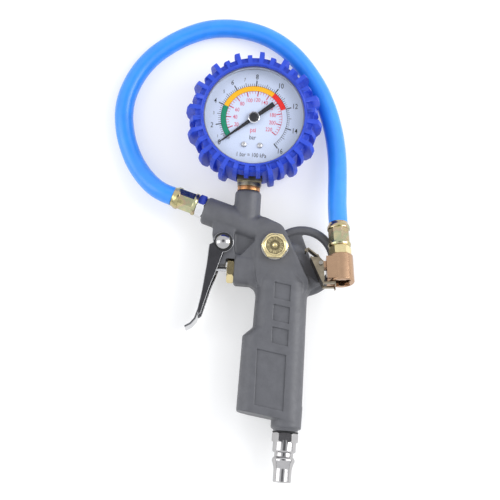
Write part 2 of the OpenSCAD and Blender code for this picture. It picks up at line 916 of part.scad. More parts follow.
// Link between the sector's tail and the tip of the tube, with a pin at each end
module tip_link() {
    x = sector_pos[0] + tail_l;
    color(c_brass) {
        translate([x, 0, link_z - 0.8 - gear_t])
            cylinder(h = gear_t + 0.9, r = 0.4 - run_gap);
        translate([x, tip_pin_y, arm_z - 0.2])
            cylinder(h = link_z - arm_z, r = 0.4);
        translate([0, 0, link_z - 0.8])
            linear_extrude(0.8) {
                translate([x, 0])
                    circle(r = 1.2);
                translate([x - 0.6, 0])
                    square([1.2, tip_pin_y]);
                translate([x, tip_pin_y])
                    circle(r = 1.2);
            }
    }
}

// Flattened tube bent round the movement. The arm on its free end has a slot as long as the
// free end's travel, where the link's pin runs
module bourdon_tube() {
    x = sector_pos[0] + tail_l;
    color(c_copper)
        difference() {
            union() {
                translate([0, 0, 8.4])
                    rotate([0, 0, 10])
                        rotate_extrude(angle = 246)
                            translate([bourdon_r, 0])
                                round_rect_at(2.6, 7, 1.2);
                translate([bourdon_r - 1.6, 2.6, 8.4])
                    cube([3.2, 3, arm_z - 8]);
                translate([x - 2.4, tip_pin_y - 1.8, arm_z])
                    cube([bourdon_r + 1.6 - x + 2.4, 6.6, 1.3]);
            }
            for (a = [0 : 5.5 : 33])
                translate([sector_pos[0] + tail_l * cos(a), tip_pin_y + tail_l * sin(a), 0])
                    cylinder(h = 40, r = 0.62);
            socket_block();
        }
}

module round_rect_at(w, h, r) {
    translate([0, h / 2])
        round_rect(w, h, r, $fn = 32);
}

module movement_plate(z) {
    translate([0, 0, z])
        linear_extrude(plate_t)
            difference() {
                union() {
                    translate([-6, -19])
                        square([18.4, 15]);
                    translate([-6, -5])
                        square([19.4, 10.4]);
                }
                circle(r = arbor_r + run_gap);
                translate(sector_pos)
                    circle(r = 0.7);
            }
}

pillar_pos = [[-4.4, -15.4], [4.4, -15.4], [-4.4, 3.4]];

module movement_lower_plate() {
    color(c_brass)
        movement_plate(lower_plate_z);
}

module movement_upper_plate() {
    color(c_brass)
        movement_plate(upper_plate_z);
}

module movement_pillars() {
    color(c_brass) {
        for (p = pillar_pos)
            translate([p[0], p[1], lower_plate_z + plate_t])
                cylinder(h = upper_plate_z - lower_plate_z - plate_t, r = 1.3);
        // Posts that the dial is screwed to
        for (p = dial_screw_pos)
            translate([p[0], p[1], upper_plate_z + plate_t])
                difference() {
                    cylinder(h = dial_z - upper_plate_z - plate_t, r = 1.9);
                    translate([0, 0, 0.4])
                        cylinder(h = 4, r = 1.03);
                }
    }
}

// ---------------------------------------------------------------- hose ends

module hose_nut() {
    color(c_steel)
        on_port() {
            hex_nut(13.8, hose_nut_l);
            translate([0, 0, -8])
                cylinder(h = 8.1, r = stem_thread_r);
        }
}

// Ferrule pressed flat on eight sides; z = 0 is the end that the hose enters
module crimped_ferrule() {
    intersection() {
        rotate_extrude()
            polygon([[0, 0], [5.3, 0], [5.5, 0.8], [6.2, 2.2], [6.3, 3.4], [6.1, 4.4],
                     [6.1, ferrule_l - 2.6], [6.35, ferrule_l - 1.4], [6, ferrule_l - 0.4],
                     [5.4, ferrule_l], [0, ferrule_l]]);
        union() {
            cylinder(h = 4, r = 7);
            rotate([0, 0, 32.5])
                cylinder(h = ferrule_l, r = 6.05, $fn = 8);
            translate([0, 0, ferrule_l - 2.4])
                cylinder(h = 3, r = 7);
        }
    }
}

module port_ferrule() {
    color(c_zinc)
        on_port()
            translate([0, 0, hose_nut_l + ferrule_l])
                rotate([180, 0, 0])
                    crimped_ferrule();
}

module hose() {
    start_dir = [-cos(port_turn), sin(port_turn), 0];
    end_dir = [sin(chuck_turn) * sin(chuck_tilt), -cos(chuck_turn) * sin(chuck_tilt),
               cos(chuck_tilt)];
    color(c_hose)
        swept_tube(hose_route, hose_d / 2, 12, start_dir, end_dir);
}

module chuck_ferrule() {
    color(c_zinc)
        on_chuck()
            crimped_ferrule();
}

module chuck_adapter() {
    color(c_brass)
        on_chuck()
            translate([0, 0, ferrule_l])
                difference() {
                    union() {
                        hex_nut(12.4, chuck_adapter_l);
                        cylinder(h = chuck_adapter_l + chuck_spigot_l, r = 4.6);
                    }
                    translate([0, 0, -1])
                        cylinder(h = 20, r = 1.6);
                }
}

// Chuck: round body with a flat boss on the clip's side and a lug for the clip's pin
module chuck_body() {
    r = chuck_d / 2;
    color(c_copper)
        on_chuck()
            difference() {
                union() {
                    translate([0, 0, chuck_body_z])
                        rotate_extrude()
                            polygon([[0, 0], [r - 0.5, 0], [r, 0.5],
                                     [r, chuck_mouth_z - chuck_body_z - 0.5],
                                     [r - 0.5, chuck_mouth_z - chuck_body_z],
                                     [0, chuck_mouth_z - chuck_body_z]]);
                    translate([-8.1, -6.5, 21.7])
                        cube([8.1, 13, 13]);
                    translate([clip_pivot[0], -2.6, clip_pivot[1]])
                        rotate([-90, 0, 0])
                            cylinder(h = 5.2, r = 1.9);
                    translate([clip_pivot[0], -2.6, clip_pivot[1] - 1.9])
                        cube([3, 5.2, 3.8]);
                }
                translate([0, 0, chuck_body_z - 1])
                    cylinder(h = chuck_spigot_l + 1.3, r = 4.65);
                translate([0, 0, chuck_body_z])
                    cylinder(h = 6, r = 2.2);
                // Chamber for the seal, then the mouth
                translate([0, 0, seal_z])
                    cylinder(h = seal_room, r = 5);
                translate([0, 0, seal_z + seal_room - 0.2])
                    cylinder(h = 10, d = mouth_d);
                for (a = [45 : 90 : 315])
                    rotate([0, 0, a])
                        translate([mouth_d / 2 + 0.2, 0, chuck_mouth_z - 1.2])
                            cylinder(h = 3, r = 1.5);
                translate([clip_pivot[0], -5, clip_pivot[1]])
                    rotate([-90, 0, 0])
                        cylinder(h = 10, r = 0.92);
            }
}

module chuck_seal() {
    color(c_dark)
        on_chuck()
            translate([0, 0, seal_z + 0.2])
                difference() {
                    cylinder(h = 3.5, r = 4.95);
                    translate([0, 0, -1])
                        cylinder(h = 6, r = 2.7);
                }
}

// Cross that pushes the tyre valve's core open
module chuck_depressor() {
    color(c_brass)
        on_chuck()
            translate([0, 0, seal_z + 0.2]) {
                cylinder(h = 3.4, r = 0.9);
                for (a = [0, 90])
                    rotate([0, 0, a])
                        translate([-2.6, -0.45, 0])
                            cube([5.2, 0.9, 0.8]);
            }
}

// Outline of the clip's side plates, as [outwards, along the chuck]
clip_side = [[-16.6, 20.8], [-11.2, 21.8], [-9.6, 23.6], [-9.5, 34.4], [-10.4, 36.6],
             [-11.6, 34.6]];

module clip_lever() {
    color(c_steel)
        on_chuck()
            difference() {
                rotate([90, 0, 0])
                    clip_sheet();
                translate([clip_pivot[0], -10, clip_pivot[1]])
                    rotate([-90, 0, 0])
                        cylinder(h = 20, r = 0.92);
            }
}

// Made flat: its XY is the chuck's XZ, and its Z is across the clip
module clip_sheet() {
    for (z = [-clip_half_w, clip_half_w - clip_t])
        translate([0, 0, z])
            linear_extrude(clip_t)
                polygon(clip_side);
    // Outer plate
    translate([0, 0, -clip_half_w])
        bent_sheet([[-10.4, 36.6], [-11.6, 34.6], [-16.6, 20.8]], clip_t, 2 * clip_half_w);
    // Thumb tab with its turned tip, and the strip that ties it to the plate
    translate([0, 0, -clip_tab_w / 2])
        bent_sheet([[-11.8, 22.3], [-13, 19.6], [-17.4, 15.4], [-18.5, 15.8], [-18.6, 16.8]],
            clip_t, clip_tab_w);
    translate([0, 0, -clip_half_w])
        bent_sheet([[-11.8, 22.5], [-13, 19.8]], clip_t, 2 * clip_half_w);
    // Jaw with two prongs
    for (z = [-clip_half_w, clip_half_w - clip_prong_w])
        translate([0, 0, z])
            linear_extrude(clip_prong_w)
                polygon([[-11.2, 35.4], [-10.6, 36.8], [-4.4, 36.9], [-4.2, 38], [-3.5, 38],
                         [-3.6, 36], [-9.8, 36]]);
}

module clip_pin() {
    color(c_steel)
        on_chuck()
            translate([clip_pivot[0], -5, clip_pivot[1]])
                rotate([-90, 0, 0]) {
                    cylinder(h = 10, r = 0.87);
                    for (z = [-0.1, 9.3])
                        translate([0, 0, z])
                            cylinder(h = 0.75, r = 1.2);
                }
}

// Spring that holds the jaw closed, wound beside the lug
module clip_spring() {
    color(c_steel)
        on_chuck()
            translate([clip_pivot[0], 2.8, clip_pivot[1]])
                rotate([-90, 0, 0])
                    coil(1.25, 0.12, 0.4, 2);
}

// ---------------------------------------------------------------- nodes

gun_body();
inlet_plug();
inlet_seal();
side_cap_nut();
side_cap_washer();
valve_gland_nut();
gland_seal();
valve_seat();
push_rod();
valve_poppet();
poppet_seal();
valve_spring();
trigger_lever();
trigger_pin();
pin_washer();
pin_end_ring();
gauge_socket();
stem_washer();
gauge_boot();
gauge_case();
gauge_bezel();
gauge_lens();
dial_spacer();
dial_plate();
dial_screws();
pointer_stop_pin();
gauge_pointer();
pointer_hub();
pinion_arbor();
sector_gear();
sector_arbor();
tip_link();
bourdon_tube();
movement_lower_plate();
movement_upper_plate();
movement_pillars();
hose_nut();
port_ferrule();
hose();
chuck_ferrule();
chuck_adapter();
chuck_body();
chuck_seal();
chuck_depressor();
clip_lever();
clip_pin();
clip_spring();
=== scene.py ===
import json
import math

import bmesh
import bpy
from bpy.props import FloatProperty, FloatVectorProperty, IntProperty, PointerProperty
from mathutils import Matrix, Vector


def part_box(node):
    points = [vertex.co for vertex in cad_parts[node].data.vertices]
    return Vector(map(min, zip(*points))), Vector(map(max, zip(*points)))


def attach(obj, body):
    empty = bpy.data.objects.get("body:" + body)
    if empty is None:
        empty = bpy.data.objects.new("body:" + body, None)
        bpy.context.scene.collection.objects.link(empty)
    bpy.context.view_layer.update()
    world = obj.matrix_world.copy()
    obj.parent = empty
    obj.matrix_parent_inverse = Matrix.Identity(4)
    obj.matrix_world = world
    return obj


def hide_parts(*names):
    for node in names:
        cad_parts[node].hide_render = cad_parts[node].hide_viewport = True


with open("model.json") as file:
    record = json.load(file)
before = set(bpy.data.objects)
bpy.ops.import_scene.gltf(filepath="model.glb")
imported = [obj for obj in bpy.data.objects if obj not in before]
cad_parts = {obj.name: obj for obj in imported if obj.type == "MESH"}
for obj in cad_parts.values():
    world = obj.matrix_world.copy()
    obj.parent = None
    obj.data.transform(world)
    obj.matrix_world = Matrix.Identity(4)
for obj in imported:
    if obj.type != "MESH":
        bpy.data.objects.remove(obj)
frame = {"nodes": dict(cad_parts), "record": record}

bl_info = {
    "name": "Tyre Inflator",
    "version": (1, 0, 0),
    "blender": (4, 5, 0),
    "location": "View3D > Sidebar > Inflator",
    "description": "Dresses a tyre inflator's frame: casting, gauge, hose, chuck and stage",
    "category": "Object",
}

MM = 0.001
ROOT = "inflator"
BODY_OF = {n: b for b, nodes in frame["record"]["behaviour"]["bodies"].items() for n in nodes}

# Middle line of the hose, in millimetres, from the port's ferrule to the chuck's
HOSE_ROUTE = [
    (-41.8, -44.8, 13), (-47.5, -42.9, 12.8), (-52.8, -39.8, 11.4), (-57.8, -35.3, 9.4),
    (-62.3, -30, 7.2), (-66.2, -24.2, 5.9), (-69.4, -17.8, 5.4), (-72, -11, 5.3),
    (-73.8, -3.5, 5.3), (-74.6, 4, 5.3), (-74, 12, 5.3), (-72, 19.5, 5.3), (-69, 26.5, 5.3),
    (-65, 33, 5.3), (-60, 39, 5.3), (-54, 44.3, 5.3), (-47, 49.3, 5.3), (-39.5, 53.3, 5.3),
    (-31.5, 56.4, 5.3), (-23, 58, 5.3), (-14.5, 58.3, 5.3), (-6, 57.4, 5.3), (2, 55.3, 5.3),
    (10, 51.7, 5.3), (17.5, 46.6, 5.3), (24, 40.5, 5.3), (30, 33.3, 5.3), (35, 26, 5.3),
    (39, 18.5, 5.3), (42.3, 10.5, 5.6), (45, 2, 6.4), (47, -7, 8), (48.3, -16, 10),
    (49, -25, 12), (49.4, -34, 14), (49.9, -43.7, 16), (50.85, -53, 18.1), (51, -54.24, 18.4),
]
TURNED_SHARP_ANGLE = 40


def colour(name, description, default):
    """A colour property in linear light."""
    return FloatVectorProperty(name=name, description=description, default=default,
                               subtype="COLOR", size=3, min=0, max=1)


def length(name, description, default):
    """A length property in metres."""
    return FloatProperty(name=name, description=description, default=default,
                         subtype="DISTANCE", unit="LENGTH", precision=5, min=0)


# ------------------------------------------------------------------ settings

class CastingSettings(bpy.types.PropertyGroup):
    paint: colour("Paint", "Colour of the satin paint", (0.098, 0.099, 0.110))
    grain: length("Grain", "Size of one cell when the casting's corners are softened", 0.0005)
    softening: IntProperty(name="Softening", description="Passes that round the cast corners",
                           default=5, min=0, max=40)


class BootSettings(bpy.types.PropertyGroup):
    rubber: colour("Rubber", "Colour of the boot", (0.018, 0.060, 0.540))
    corner: length("Corner", "Radius moulded on the lugs' edges", 0.00045)


class DialSettings(bpy.types.PropertyGroup):
    face: colour("Face", "Colour of the dial", (0.60, 0.67, 0.84))
    black: colour("Black", "Ink of the bar scale", (0.012, 0.012, 0.016))
    red: colour("Red", "Ink of the psi scale", (0.62, 0.03, 0.09))
    ink: length("Ink", "Thickness of the print", 0.00003)
    bar_angle: FloatProperty(name="Bar angle", description="Turn of the pointer for one bar",
                             default=math.radians(17.35), subtype="ANGLE")
    zero_angle: FloatProperty(name="Zero", description="Where the pointer rests",
                              default=math.radians(220), subtype="ANGLE")


class HoseSettings(bpy.types.PropertyGroup):
    rubber: colour("Rubber", "Colour of the hose", (0.030, 0.270, 0.860))
    diameter: length("Diameter", "Outer diameter of the hose", 0.0106)


class MetalSettings(bpy.types.PropertyGroup):
    brass: colour("Brass", "Colour of the machined brass", (0.82, 0.69, 0.38))
    steel: colour("Steel", "Colour of the machined steel", (0.60, 0.60, 0.61))
    chrome: colour("Chrome", "Colour of the bright plating", (0.78, 0.78, 0.80))
    bronze: colour("Bronze", "Colour of the chuck's plating", (0.47, 0.30, 0.19))
    edge: length("Edge", "Width of the broken edges on turned parts", 0.00018)


class StageSettings(bpy.types.PropertyGroup):
    floor: colour("Floor", "Colour of the floor", (0.60, 0.60, 0.60))
    glow: FloatProperty(name="Glow", description="Light given off by the backlit floor",
                        default=0.42, min=0)
    key: FloatProperty(name="Key", description="Power of the light at the right", default=8.5,
                       min=0, unit="POWER")
    fill: FloatProperty(name="Fill", description="Power of the light at the left", default=2.5,
                        min=0, unit="POWER")
    sky: FloatProperty(name="Sky", description="Brightness of the surroundings", default=1.08,
                       min=0)
    overhead: FloatProperty(name="Overhead", description="Brightness of the dark patch above",
                            default=0.14, min=0)
    lean: FloatProperty(name="Lean", description="How far the dark patch leans to the back",
                        default=math.radians(11), subtype="ANGLE")


# ------------------------------------------------------------------ node tools

class Finish:
    """A material's node tree, with short calls for the nodes that the finishes share."""

    def __init__(self, name, roughness=0.5, metallic=0.0):
        self.material = bpy.data.materials.new(name)
        self.material.use_nodes = True
        self.tree = self.material.node_tree
        self.shader = self.tree.nodes["Principled BSDF"]
        self.shader.inputs["Roughness"].default_value = roughness
        self.shader.inputs["Metallic"].default_value = metallic
        self.place = self.node("ShaderNodeTexCoord").outputs["Object"]

    def node(self, kind, **values):
        """A node with some of its inputs set or linked, each by the input's name."""
        made = self.tree.nodes.new(kind)
        for name, value in values.items():
            self.feed(made.inputs[name.replace("_", " ")], value)
        return made

    def feed(self, socket, value):
        if isinstance(value, bpy.types.NodeSocket):
            self.tree.links.new(value, socket)
        else:
            socket.default_value = value

    def set(self, **values):
        for name, value in values.items():
            self.feed(self.shader.inputs[name.replace("_", " ")], value)
        return self

    def stretched(self, scale, centre=(0, 0, 0), turn=(0, 0, 0)):
        """Object coordinates, moved, turned and scaled."""
        at = self.node("ShaderNodeMapping", Vector=self.place)
        at.vector_type = "POINT"
        at.inputs["Rotation"].default_value = turn
        at.inputs["Scale"].default_value = scale
        at.inputs["Location"].default_value = centre
        return at.outputs["Vector"]

    def noise(self, scale, detail=4.0, roughness=0.5, vector=None):
        made = self.node("ShaderNodeTexNoise", Vector=vector or self.place, Scale=scale,
                         Detail=detail, Roughness=roughness)
        return made.outputs["Fac"]

    def cells(self, scale, vector=None):
        made = self.node("ShaderNodeTexVoronoi", Vector=vector or self.place, Scale=scale)
        return made.outputs["Distance"]

    def ramp(self, factor, stops):
        """A colour ramp; a stop is (position, colour)."""
        made = self.node("ShaderNodeValToRGB", Fac=factor)
        band = made.color_ramp
        while len(band.elements) < len(stops):
            band.elements.new(0.5)
        for element, (position, shade) in zip(band.elements, stops):
            element.position = position
            element.color = (*shade, 1)
        return made.outputs["Color"]

    def spread(self, factor, low, high):
        """A number that runs from low to high with the middle part of the factor."""
        made = self.node("ShaderNodeMapRange", Value=factor, From_Min=0.3, From_Max=0.7,
                         To_Min=low, To_Max=high)
        return made.outputs["Result"]

    def bumps(self, *layers):
        """Bump from layers of (height, distance in metres), one on another."""
        normal = None
        for height, distance in layers:
            made = self.node("ShaderNodeBump", Height=height, Distance=distance)
            if normal is not None:
                self.feed(made.inputs["Normal"], normal)
            normal = made.outputs["Normal"]
        return self.set(Normal=normal)


def shade(base, factor):
    """The colour made darker or lighter."""
    return tuple(min(1.0, c * factor) for c in base)


# ------------------------------------------------------------------ finishes

def cast_paint(base):
    """Satin paint over a sand casting: soft mottling, a fine grain and dull spots."""
    f = Finish("cast_paint")
    mottle = f.noise(160, 5, 0.6)
    grain = f.noise(2600, 3, 0.65)
    f.set(Base_Color=f.ramp(mottle, [(0.3, shade(base, 0.88)), (0.72, shade(base, 1.12))]),
          Roughness=f.spread(f.noise(900), 0.40, 0.58), Specular_IOR_Level=0.55)
    return f.bumps((f.noise(420, 4), 0.00006), (grain, 0.00005)).material


def moulded_rubber(name, base, gloss=0.52):
    """Moulded rubber: a fine matt skin with paler rubbed spots."""
    f = Finish(name)
    wear = f.noise(220, 4, 0.55)
    f.set(Base_Color=f.ramp(wear, [(0.3, shade(base, 0.90)), (0.75, shade(base, 1.10))]),
          Roughness=f.spread(f.noise(1300), gloss - 0.07, gloss + 0.07),
          Specular_IOR_Level=0.45)
    return f.bumps((f.noise(3200, 3), 0.00003), (f.noise(260, 2), 0.00005)).material


def hose_rubber(base):
    """Smooth extruded hose with a faint flow pattern and a soft gloss."""
    f = Finish("hose_rubber")
    flow = f.noise(150, 3, 0.5)
    f.set(Base_Color=f.ramp(flow, [(0.3, shade(base, 0.94)), (0.7, shade(base, 1.06))]),
          Roughness=f.spread(f.noise(900), 0.30, 0.40), Coat_Weight=0.25)
    f.shader.inputs["Coat Roughness"].default_value = 0.22
    return f.bumps((f.noise(700, 3), 0.00003)).material


def plated(name, base, roughness, stretch=(1, 1, 1), tint=0.12, relief=0.000004):
    """Plated or machined metal: tool marks of the given relief and a cloudy tone."""
    f = Finish(name, metallic=1.0)
    marks = f.noise(900, 3, 0.6, f.stretched(stretch))
    cloud = f.noise(240, 4, 0.5)
    f.set(Base_Color=f.ramp(cloud, [(0.3, shade(base, 1 - tint)), (0.7, shade(base, 1 + tint))]),
          Roughness=f.spread(marks, max(0.03, roughness - 0.015), roughness + 0.025))
    return f.bumps((marks, relief)).material


def yellow_zinc():
    """Yellow passivated zinc, whose film runs from straw to pink and green."""
    f = Finish("yellow_zinc", metallic=1.0)
    film = f.noise(110, 3, 0.5)
    f.set(Base_Color=f.ramp(film, [(0.30, (0.36, 0.32, 0.17)), (0.42, (0.52, 0.46, 0.23)),
                                   (0.50, (0.52, 0.40, 0.27)), (0.58, (0.42, 0.44, 0.27)),
                                   (0.68, (0.56, 0.50, 0.30))]),
          Roughness=f.spread(f.noise(1100), 0.17, 0.25))
    return f.bumps((f.noise(1500, 3), 0.000006)).material


def dial_enamel(base):
    """Printed dial face: pale satin enamel with a barely visible orange peel."""
    f = Finish("dial_enamel")
    f.set(Base_Color=f.ramp(f.noise(60, 3), [(0.3, shade(base, 0.97)), (0.7, shade(base, 1.03))]),
          Roughness=f.spread(f.noise(800), 0.42, 0.52))
    return f.bumps((f.noise(1500), 0.000006)).material


def ink(name, base):
    """Screen-printed ink with a slightly uneven coat."""
    f = Finish(name)
    f.set(Base_Color=f.ramp(f.noise(1400, 3), [(0.3, shade(base, 0.92)), (0.7, shade(base, 1.08))]),
          Roughness=f.spread(f.noise(2000), 0.45, 0.6))
    return f.material


def clear_window():
    """Clear polished window with a trace of dust."""
    f = Finish("clear_window")
    f.set(Base_Color=(0.98, 0.99, 1.0, 1), Transmission_Weight=1.0, IOR=1.45, Alpha=0.07,
          Roughness=f.spread(f.noise(500, 5), 0.0, 0.05))
    return f.material


def black_rubber():
    return moulded_rubber("black_rubber", (0.012, 0.012, 0.013), 0.6)


# ------------------------------------------------------------------ mesh tools

def link(obj):
    bpy.context.scene.collection.objects.link(obj)
    return obj


def bake_modifiers(obj):
    """The object's modifiers turned into plain mesh."""
    graph = bpy.context.evaluated_depsgraph_get()
    mesh = bpy.data.meshes.new_from_object(obj.evaluated_get(graph))
    obj.modifiers.clear()
    old = obj.data
    obj.data = mesh
    if isinstance(old, bpy.types.Mesh):
        bpy.data.meshes.remove(old)
    return obj


def joined_copy(node, name):
    """A copy of a frame node with its corners merged and flat faces joined."""
    obj = link(bpy.data.objects.new(name, frame["nodes"][node].data.copy()))
    obj.data.materials.clear()
    bm = bmesh.new()
    bm.from_mesh(obj.data)
    bmesh.ops.remove_doubles(bm, verts=bm.verts, dist=2e-6)
    bmesh.ops.dissolve_degenerate(bm, edges=bm.edges, dist=2e-6)
    bmesh.ops.dissolve_limit(bm, verts=bm.verts, edges=bm.edges, angle_limit=math.radians(0.6))
    bm.to_mesh(obj.data)
    bm.free()
    return obj


def smooth_shade(obj, angle=32):
    obj.data.shade_smooth()
    obj.data.set_sharp_from_angle(angle=math.radians(angle))


def dress(obj, node, material):
    """Gives a piece its finish and puts it in a frame node's place."""
    obj.data.materials.clear()
    obj.data.materials.append(material)
    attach(obj, BODY_OF[node])
    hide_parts(node)
    return obj


def turned(node, name, material, edge, segments=2, angle=28, clamp=True, weighted=True):
    """A frame node with its edges broken, as on a turned, pressed or milled part.

    An unclamped edge keeps its full width on thin plate. Unweighted normals suit soft forms.
    """
    obj = joined_copy(node, name)
    obj.data.shade_smooth()
    bevel = obj.modifiers.new("edges", "BEVEL")
    bevel.width = edge
    bevel.segments = segments
    bevel.limit_method = "ANGLE"
    bevel.angle_limit = math.radians(angle)
    bevel.use_clamp_overlap = clamp
    if weighted:
        weigh = obj.modifiers.new("weigh", "WEIGHTED_NORMAL")
        weigh.weight = 90
    bake_modifiers(obj)
    obj.data.set_sharp_from_angle(angle=math.radians(TURNED_SHARP_ANGLE))
    return dress(obj, node, material)


def paint_node(node, material):
    """Gives a frame node that stays its finish."""
    obj = frame["nodes"][node]
    obj.data.materials.clear()
    obj.data.materials.append(material)


def mesh_piece(name, body, bm, materials):
    """A new piece from a bmesh, riding on a body."""
    mesh = bpy.data.meshes.new(name)
    bmesh.ops.recalc_face_normals(bm, faces=bm.faces)
    bm.to_mesh(mesh)
    bm.free()
    obj = link(bpy.data.objects.new(name, mesh))
    for material in materials:
        mesh.materials.append(material)
    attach(obj, body)
    return obj


# ------------------------------------------------------------------ geometry nodes

def scale_marks_tree():
    """Node group for a row of marks round a centre: equal boxes, each turned one step on."""
    tree = bpy.data.node_groups.new("Scale Marks", "GeometryNodeTree")
    face = tree.interface
    face.new_socket("Geometry", in_out="OUTPUT", socket_type="NodeSocketGeometry")
    face.new_socket("Geometry", in_out="INPUT", socket_type="NodeSocketGeometry")
    face.new_socket("Count", in_out="INPUT", socket_type="NodeSocketInt")
    for name in ("First Angle", "Step", "Start Radius", "Length", "Width", "Thickness", "Height"):
        face.new_socket(name, in_out="INPUT", socket_type="NodeSocketFloat")
    face.new_socket("Material", in_out="INPUT", socket_type="NodeSocketMaterial")
    add = tree.nodes.new
    join = tree.links.new
    given = add("NodeGroupInput").outputs
    result = add("NodeGroupOutput")

    def combine(x=None, y=None, z=None):
        made = add("ShaderNodeCombineXYZ")
        for socket, value in zip(made.inputs, (x, y, z)):
            if value is not None:
                join(value, socket)
        return made.outputs[0]

    def maths(operation, a, b):
        made = add("ShaderNodeMath")
        made.operation = operation
        for socket, value in zip(made.inputs, (a, b)):
            if isinstance(value, bpy.types.NodeSocket):
                join(value, socket)
            else:
                socket.default_value = value
        return made.outputs[0]

    row = add("GeometryNodeMeshLine")
    join(given["Count"], row.inputs["Count"])
    row.inputs["Offset"].default_value = (0, 0, 0)
    mark = add("GeometryNodeMeshCube")
    join(combine(given["Length"], given["Width"], given["Thickness"]), mark.inputs["Size"])
    placed = add("GeometryNodeTransform")
    join(mark.outputs["Mesh"], placed.inputs["Geometry"])
    middle = maths("ADD", given["Start Radius"], maths("MULTIPLY", given["Length"], 0.5))
    above = maths("ADD", given["Height"], maths("MULTIPLY", given["Thickness"], 0.5))
    join(combine(middle, None, above), placed.inputs["Translation"])
    turn = maths("ADD", given["First Angle"],
                 maths("MULTIPLY", add("GeometryNodeInputIndex").outputs[0], given["Step"]))
    spread = add("GeometryNodeInstanceOnPoints")
    join(row.outputs["Mesh"], spread.inputs["Points"])
    join(placed.outputs["Geometry"], spread.inputs["Instance"])
    join(combine(None, None, turn), spread.inputs["Rotation"])
    real = add("GeometryNodeRealizeInstances")
    join(spread.outputs["Instances"], real.inputs["Geometry"])
    coated = add("GeometryNodeSetMaterial")
    join(real.outputs["Geometry"], coated.inputs["Geometry"])
    join(given["Material"], coated.inputs["Material"])
    join(coated.outputs["Geometry"], result.inputs["Geometry"])
    return tree


def scale_marks(name, tree, material, **sizes):
    """One row of marks, made by the node group and turned into plain mesh."""
    obj = link(bpy.data.objects.new(name, bpy.data.meshes.new(name)))
    rows = obj.modifiers.new("marks", "NODES")
    rows.node_group = tree
    sockets = {s.name: s.identifier for s in tree.interface.items_tree
               if s.item_type == "SOCKET" and s.in_out == "INPUT"}
    for label, value in sizes.items():
        rows[sockets[label.replace("_", " ").title()]] = value
    rows[sockets["Material"]] = material
    bake_modifiers(obj)
    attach(obj, ROOT)
    return obj


# ------------------------------------------------------------------ operators

class INFLATOR_OT_camera(bpy.types.Operator):
    """Add the camera that looks down on the inflator, a little from the grip's end"""
    bl_idname = "inflator.camera"
    bl_label = "Add Camera"

    def execute(self, context):
        tilt = math.radians(79.5)
        turn = math.radians(4.5)
        target = Vector((3.4, -71.8, 13)) * MM
        distance = 0.8
        right = Vector((math.cos(turn), math.sin(turn), 0))
        back = Vector((math.sin(turn) * math.cos(tilt), -math.cos(turn) * math.cos(tilt),
                       math.sin(tilt)))
        data = bpy.data.cameras.new("camera")
        data.sensor_width = 36
        data.lens = 103.68
        data.clip_start = 0.05
        camera = link(bpy.data.objects.new("camera", data))
        axes = Matrix((right, back.cross(right), back)).transposed()
        camera.matrix_world = Matrix.Translation(target + back * distance) @ axes.to_4x4()
        context.scene.camera = camera
        return {"FINISHED"}


class INFLATOR_OT_hose(bpy.types.Operator):
    """Lay the free hose along its route"""
    bl_idname = "inflator.hose"
    bl_label = "Add Hose"

    def execute(self, context):
        settings = context.scene.inflator_hose
        data = bpy.data.curves.new("hose_tube", "CURVE")
        data.dimensions = "3D"
        data.resolution_u = 8
        data.bevel_depth = settings.diameter / 2
        data.bevel_resolution = 7
        data.use_fill_caps = True
        line = data.splines.new("BEZIER")
        line.bezier_points.add(len(HOSE_ROUTE) - 1)
        for point, place in zip(line.bezier_points, HOSE_ROUTE):
            point.co = Vector(place) * MM
            point.handle_left_type = "AUTO"
            point.handle_right_type = "AUTO"
        obj = link(bpy.data.objects.new("hose_tube", data))
        data.materials.append(hose_rubber(settings.rubber))
        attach(obj, ROOT)
        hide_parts("hose")
        return {"FINISHED"}


class INFLATOR_OT_chuck(bpy.types.Operator):
    bl_idname = "inflator.chuck"
    bl_label = "Add Chuck"

    def execute(self, context):
        metal = context.scene.inflator_metal
        zinc = yellow_zinc()
        brass = plated("chuck_brass", metal.brass, 0.28)
        bronze = plated("chuck_bronze", metal.bronze, 0.26, (1, 6, 1), 0.06, 0.0000015)
        clip = plated("clip_plate", (0.26, 0.22, 0.16), 0.22, (1, 8, 1), 0.3)
        steel = plated("chuck_steel", (0.34, 0.32, 0.29), 0.25)
        on_hose = [
            turned("port_ferrule", "port_ferrule_crimped", zinc, metal.edge * 1.6, 3),
            turned("chuck_ferrule", "chuck_ferrule_crimped", zinc, metal.edge * 1.6, 3),
            turned("chuck_adapter", "chuck_adapter_hex", brass, metal.edge),
            turned("chuck_body", "chuck_barrel", bronze, metal.edge * 0.8, 2),
            turned("clip_lever", "clip_lever_pressed", clip, metal.edge * 0.8),
            turned("clip_pin", "clip_pin_riveted", steel, metal.edge),
        ]
        for node, material in (("chuck_seal", black_rubber()), ("chuck_depressor", brass),
                               ("clip_spring", steel)):
            paint_node(node, material)
            on_hose.append(frame["nodes"][node])
        return {"FINISHED"}


